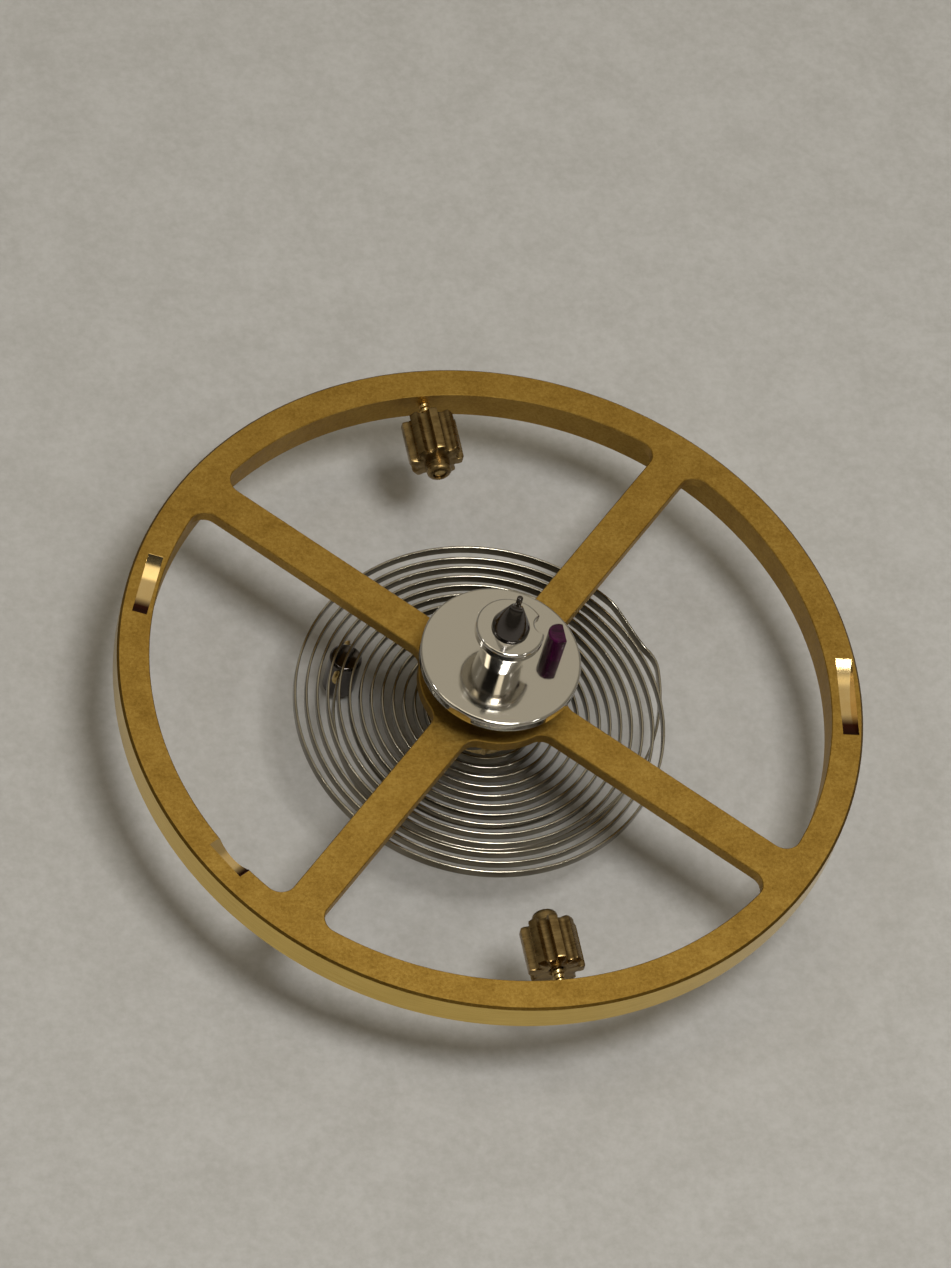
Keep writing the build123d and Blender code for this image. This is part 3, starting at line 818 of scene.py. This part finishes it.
def nearest_share(points, line, share):
    """For each point of the strip's skin, the share of the nearest point of its middle line."""
    block = 2000
    out = np.empty(len(points), np.float32)
    for start in range(0, len(points), block):
        part = points[start : start + block]
        away = ((part[:, None, :] - line[None, :, :]) ** 2).sum(-1)
        out[start : start + block] = share[away.argmin(1)]
    return out


def hairspring(material):
    """The strip: a rectangle with eased corners carried along its middle line, upright all the way."""
    line, share = strip_line()
    ahead = np.gradient(line[:, :2], axis=0)
    ahead /= np.linalg.norm(ahead, axis=1)[:, None]
    side = np.stack([ahead[:, 1], -ahead[:, 0]], -1)
    corner_centre = np.array((STRIP_THICKNESS, STRIP_HEIGHT)) / 2 - STRIP_ROUNDING
    corner = corner_centre + circle(np.linspace(0, QUARTER_TURN, 6), STRIP_ROUNDING)
    left = (corner * (-1, 1))[::-1]
    section = np.concatenate([corner, left, -corner, -left])
    plan = line[:, None, :2] + side[:, None, :] * section[:, :1]
    skin = at_height(plan, line[:, None, 2] + section[:, 1])
    caps = [np.broadcast_to(ring.mean(0), ring.shape)[None] for ring in (skin[0], skin[-1])]
    patches = [grid(np.concatenate([caps[0], skin, caps[1]]), wrap_cols=True)]
    place = about("Z", KNEE_AZIMUTH)
    spring = piece("spring_strip", patches, material, None, "hairspring", place)
    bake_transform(spring)
    points = np.zeros(len(spring.data.vertices) * 3)
    spring.data.vertices.foreach_get("co", points)
    points = (points.reshape(-1, 3) / MM + (0, 0, COCK_TIP)) @ np.array(place.to_3x3())
    nearest_share(points, line, share)
    normal, _ = face_table(spring.data)
    # painted light and shade: faces that look up are marked to be painted bright, upright sides stay painted
    # dark
    mark(spring.data, "edge", np.clip((np.abs(normal[:, 2]) - LIT_EDGE_FROM) / LIT_EDGE_FADE, 0, 1))


# Collet, stud and pins


def collet_patches():
    """The split ring: an outline carried round from one side of its split to the other, with closed ends."""
    gap = math.degrees(math.asin(COLLET_SPLIT / 2 / COLLET_RADIUS))
    middle_height = (COLLET_TOP + COLLET_UNDER) / 2
    corners = [
        *land(COLLET_SEAT_RADIUS, middle_height, COLLET_TOP),
        *land(COLLET_RADIUS, COLLET_TOP, COLLET_UNDER),
        *land(COLLET_SEAT_RADIUS, COLLET_UNDER, middle_height),
    ]
    outline = softened(corners, COLLET_ROUNDING)[:-1]
    skin = carried_round(outline, np.linspace(90 + gap, 450 - gap, 121))
    # the split's faces are parallel: the ends of each row are drawn to the same distance from the middle
    for end, side in ((0, -1), (-1, 1)):
        skin[:, end, 0] = side * COLLET_SPLIT / 2
        skin[:, end, 1] = np.sqrt(outline[:, 0] ** 2 - (COLLET_SPLIT / 2) ** 2)
    patches = [grid(skin, wrap_rows=True)]
    for end in (0, -1):
        ring = skin[:, [end]]
        middle = np.broadcast_to(ring.mean(0, keepdims=True), ring.shape)
        patches.append(grid(np.concatenate([ring, middle], 1), wrap_rows=True))
    return patches


def pin_patches(length):
    """A pin along Z filed flat on one side: the segment of a circle beyond half the strip's thickness."""
    end = math.acos(STRIP_THICKNESS / 2 / HOLE_RADIUS)
    section = closed_by_chord(circle(np.linspace(-end, end, 25), HOLE_RADIUS), 5)
    ends = ((0.5, 0), (0.5, PIN_END_SCALE), (PIN_BODY_SHARE, 1))
    rows = [(-height * length, scale) for height, scale in ends]
    rows += [(height * length, scale) for height, scale in ends[::-1]]
    return drawn_up(section, section.mean(0), rows)


def collet_hole_place():
    """The middle of the collet's hole, with Z along the hole and X away from the staff."""
    hole = Matrix.Translation((0, -COLLET_HOLE_OFFSET, SPRING_HEIGHT))
    return about("Z", KNEE_AZIMUTH) @ hole @ about("Z", -90) @ about("X", 90)


def stud_place():
    """The stud's axis at the overcoil's height, with Y along the strip and X away from the staff."""
    middle = Matrix.Translation((OVERCOIL_RADIUS, -STUD_RADIUS - STRIP_TAIL, SPRING_HEIGHT - KNEE_DROP))
    return about("Z", OVERCOIL_END_AZIMUTH) @ middle


def stud_patches():
    """The stud's post: a turned outline with broken edges."""
    foot = STUD_HEAD - STUD_LENGTH
    corners = [
        (0, STUD_HEAD),
        (STUD_RADIUS - STUD_BEVEL, STUD_HEAD),
        *land(STUD_RADIUS, STUD_HEAD - STUD_BEVEL, foot + STUD_BEVEL),
        (STUD_RADIUS - STUD_BEVEL, foot),
        (0, foot),
    ]
    return lathe(softened(corners, STUD_ROUNDING), 96)


# Materials


class Nodes:
    """A node tree under construction."""

    def __init__(self, tree):
        self.tree = tree

    def fill(self, node, values):
        """Sets a node's inputs, by name or place, or joins those whose value is another node's socket."""
        for key, value in values.items():
            if isinstance(value, bpy.types.NodeSocket):
                self.tree.links.new(value, node.inputs[key])
            else:
                node.inputs[key].default_value = value

    def add(self, kind, values=None, **settings):
        """Adds a node with its settings and inputs."""
        node = self.tree.nodes.new(kind)
        for name, setting in settings.items():
            setattr(node, name, setting)
        self.fill(node, values or {})
        return node

    def sum(self, first, second):
        """Two values added."""
        return self.add("ShaderNodeMath", {0: first, 1: second}, operation="ADD").outputs[0]

    def scaled(self, value, factor):
        """A value times a factor."""
        return self.add("ShaderNodeMath", {0: value, 1: factor}, operation="MULTIPLY").outputs[0]

    def span(self, value, low, high, to_low, to_high, **settings):
        """A value carried from one range to another and held at its ends."""
        limits = {"Value": value, "From Min": low, "From Max": high, "To Min": to_low, "To Max": to_high}
        return self.add("ShaderNodeMapRange", limits, **settings).outputs["Result"]


class Finish(Nodes):
    """A Principled material on Object coordinates in millimetres."""

    def __init__(self, name, colour, roughness, metallic=1.0):
        self.material = bpy.data.materials.new(name)
        self.material.use_nodes = True
        super().__init__(self.material.node_tree)
        self.shader = self.tree.nodes["Principled BSDF"]
        self.surface({"Base Color": (*colour, 1), "Metallic": metallic, "Roughness": roughness})
        self.where = self.add("ShaderNodeTexCoord").outputs["Object"]
        self.where = self.stretched((1 / MM, 1 / MM, 1 / MM))

    def surface(self, values):
        """Sets or joins the shader's own inputs."""
        self.fill(self.shader, values)

    def stretched(self, scale):
        """The coordinates stretched by a scale for each axis."""
        return self.add("ShaderNodeMapping", {"Vector": self.where, "Scale": scale}).outputs["Vector"]

    def noise(self, cells, detail=2, roughness=0.5, stretch=None, distortion=0.0):
        """Noise with so many cells to the millimetre, drawn out where a stretch is below one."""
        values = {"Vector": self.stretched(stretch) if stretch else self.where, "Scale": cells}
        values.update({"Detail": detail, "Roughness": roughness, "Distortion": distortion})
        return self.add("ShaderNodeTexNoise", values).outputs["Fac"]

    def ramp(self, value, low, high, shades):
        """A colour ramp through evenly spaced shades from one value to another."""
        node = self.add("ShaderNodeValToRGB", {"Fac": value})
        elements = node.color_ramp.elements
        for _ in shades[2:]:
            elements.new(0.5)
        for element, place, shade_colour in zip(elements, np.linspace(low, high, len(shades)), shades):
            element.position = place
            element.color = (*shade_colour, 1)
        return node.outputs["Color"]

    def attribute(self, name):
        """A share kept on the mesh's faces."""
        return self.add("ShaderNodeAttribute", attribute_name=name).outputs["Fac"]

    def mix(self, share, first, second):
        """One colour, another, or a share of each."""
        return self.add("ShaderNodeMix", {0: share, 6: first, 7: second}, data_type="RGBA").outputs[2]

    def blend(self, share, first, second):
        """One number, another, or a share of each."""
        return self.add("ShaderNodeMix", {0: share, 2: first, 3: second}).outputs[0]

    def bump(self, height, distance):
        """Raises the surface by a height times a distance in millimetres."""
        values = {"Height": height, "Strength": 1.0, "Distance": distance * MM}
        self.surface({"Normal": self.add("ShaderNodeBump", values).outputs["Normal"]})


def gilding():
    """Matt gilding: a fine mottle of paler and browner gold, faint straight scratches and a grained surface.

    The rim's outer wall is bright with lathe lines, its upper bevel is painted brown as shade, and the
    poising cuts are bare metal with painted shade at their ends towards the camera's side.
    """
    finish = Finish("gilding", (0.5, 0.32, 0.08), 0.42)
    cloud = finish.noise(2.2, 4, 0.6)
    grain = finish.noise(26, 5, 0.7)
    mottle = finish.sum(finish.scaled(cloud, 0.35), finish.scaled(grain, 0.65))
    matt = finish.ramp(mottle, 0.34, 0.66, GILT_SHADES)
    turned = finish.attribute("turned")
    cut = finish.attribute("cut")
    # painted shade: the rim's upper bevel is painted brown
    matt = finish.mix(finish.scaled(finish.attribute("bevel_shade"), 0.6), matt, BEVEL_SHADE_BROWN)
    lathe_lines = finish.noise(9, stretch=(0.2, 0.2, 4.0))
    bright = finish.ramp(lathe_lines, 0.3, 0.7, TURNED_GILT_SHADES)
    bare = finish.ramp(cloud, 0.3, 0.7, BARE_SHADES)
    # painted shade: each cut's end towards the camera's side is painted dark brown
    bare = finish.mix(finish.attribute("cut_end_shade"), bare, CUT_END_SHADE_BROWN)
    colour = finish.mix(cut, finish.mix(turned, matt, bright), bare)
    scratch = finish.noise(9, 3, 0.6, stretch=(0.12, 2.2, 1.0))
    dull = finish.span(finish.sum(grain, scratch), 0.7, 1.3, 0.42, 0.56)
    smooth = finish.span(lathe_lines, 0.3, 0.7, 0.12, 0.24)
    roughness = finish.blend(cut, finish.blend(turned, dull, smooth), 0.10)
    finish.surface({"Base Color": colour, "Roughness": roughness})
    height = finish.sum(finish.scaled(grain, 0.8), finish.scaled(scratch, 0.5))
    matt_only = finish.span(finish.sum(turned, cut), 0.0, 1.0, 1.0, 0.1)
    finish.bump(finish.scaled(height, matt_only), 0.0022)
    return finish.material


def nut_gold():
    """The nuts' turned gold: darker and smoother than the wheel, with fine rings round each radius."""
    finish = Finish("nut_gold", (0.42, 0.25, 0.06), 0.3)
    grain = finish.noise(10, 3, 0.5)
    rings = finish.noise(6, stretch=(0.3, 6.0, 0.3))
    colour = finish.ramp(grain, 0.35, 0.65, NUT_SHADES)
    finish.surface({"Base Color": colour, "Roughness": finish.span(rings, 0.35, 0.65, 0.22, 0.38)})
    finish.bump(rings, 0.0006)
    return finish.material


def polished_steel():
    """The roller's black polish: a near mirror with the slightest waviness and a few hairlines."""
    finish = Finish("polished_steel", (0.66, 0.64, 0.60), 0.07)
    haze = finish.noise(3, 3, 0.5)
    hairlines = finish.noise(14, stretch=(0.15, 3.0, 1.0))
    finish.surface({"Roughness": finish.span(finish.sum(haze, hairlines), 0.75, 1.3, 0.05, 0.13)})
    finish.bump(haze, 0.0006)
    return finish.material


def burnished_steel():
    """The staff and stud: dark hardened steel, burnished bright, with fine rings round the axis."""
    finish = Finish("burnished_steel", (0.10, 0.09, 0.085), 0.1)
    rings = finish.noise(16, stretch=(0.2, 0.2, 4.0))
    finish.surface({"Roughness": finish.span(rings, 0.3, 0.7, 0.07, 0.14)})
    finish.bump(rings, 0.0003)
    return finish.material


def spring_steel():
    """The spring's rolled strip, painted with light and shade: upward edges painted bright and upright sides
    painted dark, with lines along them, and duller patches.
    """
    finish = Finish("spring_steel", (0.46, 0.45, 0.43), 0.2)
    lines = finish.noise(20, stretch=(0.4, 0.4, 3.0))
    patches = finish.noise(1.6)
    side = finish.ramp(patches, 0.35, 0.65, STRIP_SHADED_SIDE_COLOURS)
    edge = finish.ramp(patches, 0.35, 0.65, STRIP_LIT_EDGE_COLOURS)
    # painted light and shade: upward faces painted bright, upright sides painted dark
    colour = finish.mix(finish.attribute("edge"), side, edge)
    finish.surface({"Base Color": colour, "Roughness": finish.span(lines, 0.3, 0.7, 0.14, 0.26)})
    return finish.material


def turned_brass():
    """The collet, the pins and the nuts' posts: plain satin brass."""
    finish = Finish("turned_brass", (0.62, 0.45, 0.18), 0.3)
    grain = finish.noise(20, 3, 0.6)
    colour = finish.ramp(grain, 0.35, 0.65, BRASS_SHADES)
    finish.surface({"Base Color": colour, "Roughness": finish.span(grain, 0.3, 0.7, 0.24, 0.38)})
    return finish.material


def ruby():
    """The pin's synthetic ruby: deep purple red that lets some light through, with faint growth bands."""
    finish = Finish("ruby", (0.05, 0.003, 0.03), 0.12, metallic=0.0)
    bands = finish.noise(6, 3, 0.6, stretch=(1.0, 1.0, 0.4), distortion=0.5)
    finish.surface({"Base Color": finish.ramp(bands, 0.35, 0.65, RUBY_SHADES)})
    finish.surface({"IOR": 1.45, "Specular IOR Level": 0.35, "Transmission Weight": 0.15})
    finish.bump(bands, 0.012)
    return finish.material


def floor_cloth():
    """The floor's pale matt cloth: a soft mottle over a finer one."""
    finish = Finish("floor_cloth", (0.46, 0.455, 0.445), 0.95, metallic=0.0)
    coarse = finish.scaled(finish.noise(1.2, 3, 0.6), 0.4)
    fine = finish.scaled(finish.noise(7, 4, 0.7), 0.6)
    colour = finish.ramp(finish.sum(coarse, fine), 0.38, 0.62, CLOTH_SHADES)
    finish.surface({"Base Color": colour, "Specular IOR Level": 0.2})
    return finish.material


# The object

gilt = gilding()
steel = burnished_steel()
mirror = polished_steel()
brass = turned_brass()
nut = nut_gold()

wheel = piece("wheel", wheel_patches(), gilt, "balance", "balance_wheel")
mark_wheel(wheel.data)
cut_away(wheel)
piece("staff", staff_patches(), steel, "balance", "balance_staff")
piece("roller", roller_patches(), mirror, "balance", "roller_table")
piece("ruby_pin", jewel_patches(), ruby(), "balance", "impulse_jewel")
place = about("Z", KNEE_AZIMUTH)
piece("collet", collet_patches(), brass, "balance", "hairspring_collet", place)
pin = pin_patches(2 * (COLLET_CHORD + PIN_TAIL))
piece("collet_taper_pin", pin, brass, "balance", "collet_pin", collet_hole_place())
piece("stud_post", stud_patches(), steel, "stud", "hairspring_stud", stud_place())
pin = pin_patches(2 * (STUD_RADIUS + PIN_TAIL))
piece("stud_taper_pin", pin, brass, "stud", "stud_pin", stud_place() @ about("X", 90))
hairspring(spring_steel())
for letter, azimuth in NUT_AZIMUTHS.items():
    # made along Z, and turned to point outwards along a radius in the wheel's middle plane
    place = about("Z", azimuth) @ about("Y", 90)
    skin = nut_patches(NUT_STANDOFFS[letter])
    piece(f"star_nut_{letter}_gold", skin, nut, f"star_nut_{letter}", f"star_nut_{letter}", place)
    piece(f"threaded_post_{letter}", post_patches(), brass, "balance", f"nut_post_{letter}", place)


# Floor, light and camera


def floor(height):
    """A wide pale cloth-coloured floor under the object: one square at a height."""
    mesh = bpy.data.meshes.new("floor")
    signs = ((-1, -1), (1, -1), (1, 1), (-1, 1))
    corners = [(x * FLOOR_HALF, y * FLOOR_HALF, height * MM) for x, y in signs]
    mesh.from_pydata(corners, [], [(0, 1, 2, 3)])
    mesh.materials.append(floor_cloth())
    add_object("floor", mesh)


def lamp(name, azimuth, elevation, distance, size, power, colour):
    """A round soft lamp that looks at the lower tip from a direction, its distance and size in metres."""
    light = bpy.data.lights.new(name, "AREA")
    light.shape = "DISK"
    light.size = size
    light.energy = power
    light.color = colour
    back = direction(azimuth, elevation)
    right = direction(azimuth + 90)
    rotation = Matrix((right, np.cross(back, right), back)).transposed().to_4x4()
    add_object(name, light).matrix_world = Matrix.Translation(back * distance) @ rotation


def room():
    """A soft room for the metal to mirror: dim walls, lighter and darker in places, and three panes."""
    world = bpy.data.worlds.new("room")
    bpy.context.scene.world = world
    world.use_nodes = True
    sky = Nodes(world.node_tree)
    where = sky.add("ShaderNodeTexCoord").outputs["Generated"]

    def patch(azimuth, elevation, inner, outer, within, beyond):
        """A round patch of sky, eased between two angles over the cosine of the angle from its direction."""
        ways = {0: where, 1: tuple(direction(azimuth, elevation))}
        toward = sky.add("ShaderNodeVectorMath", ways, operation="DOT_PRODUCT").outputs["Value"]
        low = math.cos(math.radians(outer))
        high = math.cos(math.radians(inner))
        return sky.span(toward, low, high, beyond, within, interpolation_type="SMOOTHERSTEP")

    # each patch's azimuth, elevation, inner angle, outer angle, and strength within and beyond them
    glow = patch(75, 58, 8, 40, 0.46, 0.24)
    doorway = patch(-122, 58, 22, 32, 0.04, 1.0)
    wainscot = patch(0, 90, 68, 86, 1.0, 0.5)
    side_pane = patch(-86, 42, 5, 11, 1.5, 0.0)
    top_pane = patch(63.6, 84, 7, 15, 0.9, 0.0)
    skylight = patch(170, 68, 3, 8, 2.5, 0.0)
    walls = sky.scaled(sky.scaled(glow, doorway), wainscot)
    strength = sky.sum(sky.sum(walls, side_pane), sky.sum(top_pane, skylight))
    sky.fill(world.node_tree.nodes["Background"], {"Strength": strength, "Color": ROOM_CREAM})


def camera():
    """The photograph's camera: about 83 mm away and 55 degrees up, turned so that the roller leans left.

    It looks a little past the middle of the rim's upper plane. The focal length is in the picture's pixels.
    """
    azimuth, elevation, roll = -26.4, 55.28, math.radians(17.86)
    distance, shift_right, shift_up = 82.75, -0.2381, 0.5927
    focal_length, photo_height = 6275.04, 1268
    back = direction(-90, elevation)
    level = np.array([1.0, 0, 0])
    steep = np.cross(back, level)
    right = math.cos(roll) * level + math.sin(roll) * steep
    up = -math.sin(roll) * level + math.cos(roll) * steep
    place = back * distance + right * shift_right + up * shift_up
    rotation = Matrix((right, up, back)).transposed().to_4x4()
    eye = bpy.data.cameras.new("camera")
    eye.sensor_width = 36
    eye.lens = focal_length * eye.sensor_width / photo_height
    eye.clip_start = 0.001
    eye.clip_end = 10
    holder = add_object("camera", eye)
    lift = Matrix.Translation((0, 0, (WHEEL_TOP - COCK_TIP) * MM))
    holder.matrix_world = lift @ about("Z", azimuth) @ Matrix.Translation(place * MM) @ rotation
    bpy.context.scene.camera = holder


floor(FLOOR_HEIGHT)
lamp("window", azimuth=-66.5, elevation=75.0, distance=0.07, size=0.022, power=0.0268, colour=WINDOW_WHITE)
lamp("left_lamp", azimuth=165.0, elevation=52.0, distance=0.16, size=0.012, power=0.010, colour=LAMP_WHITE)
lamp("right_lamp", azimuth=-41.0, elevation=50.0, distance=0.16, size=0.012, power=0.007, colour=LAMP_WHITE)
room()
camera()
bpy.context.scene.view_settings.view_transform = "Standard"
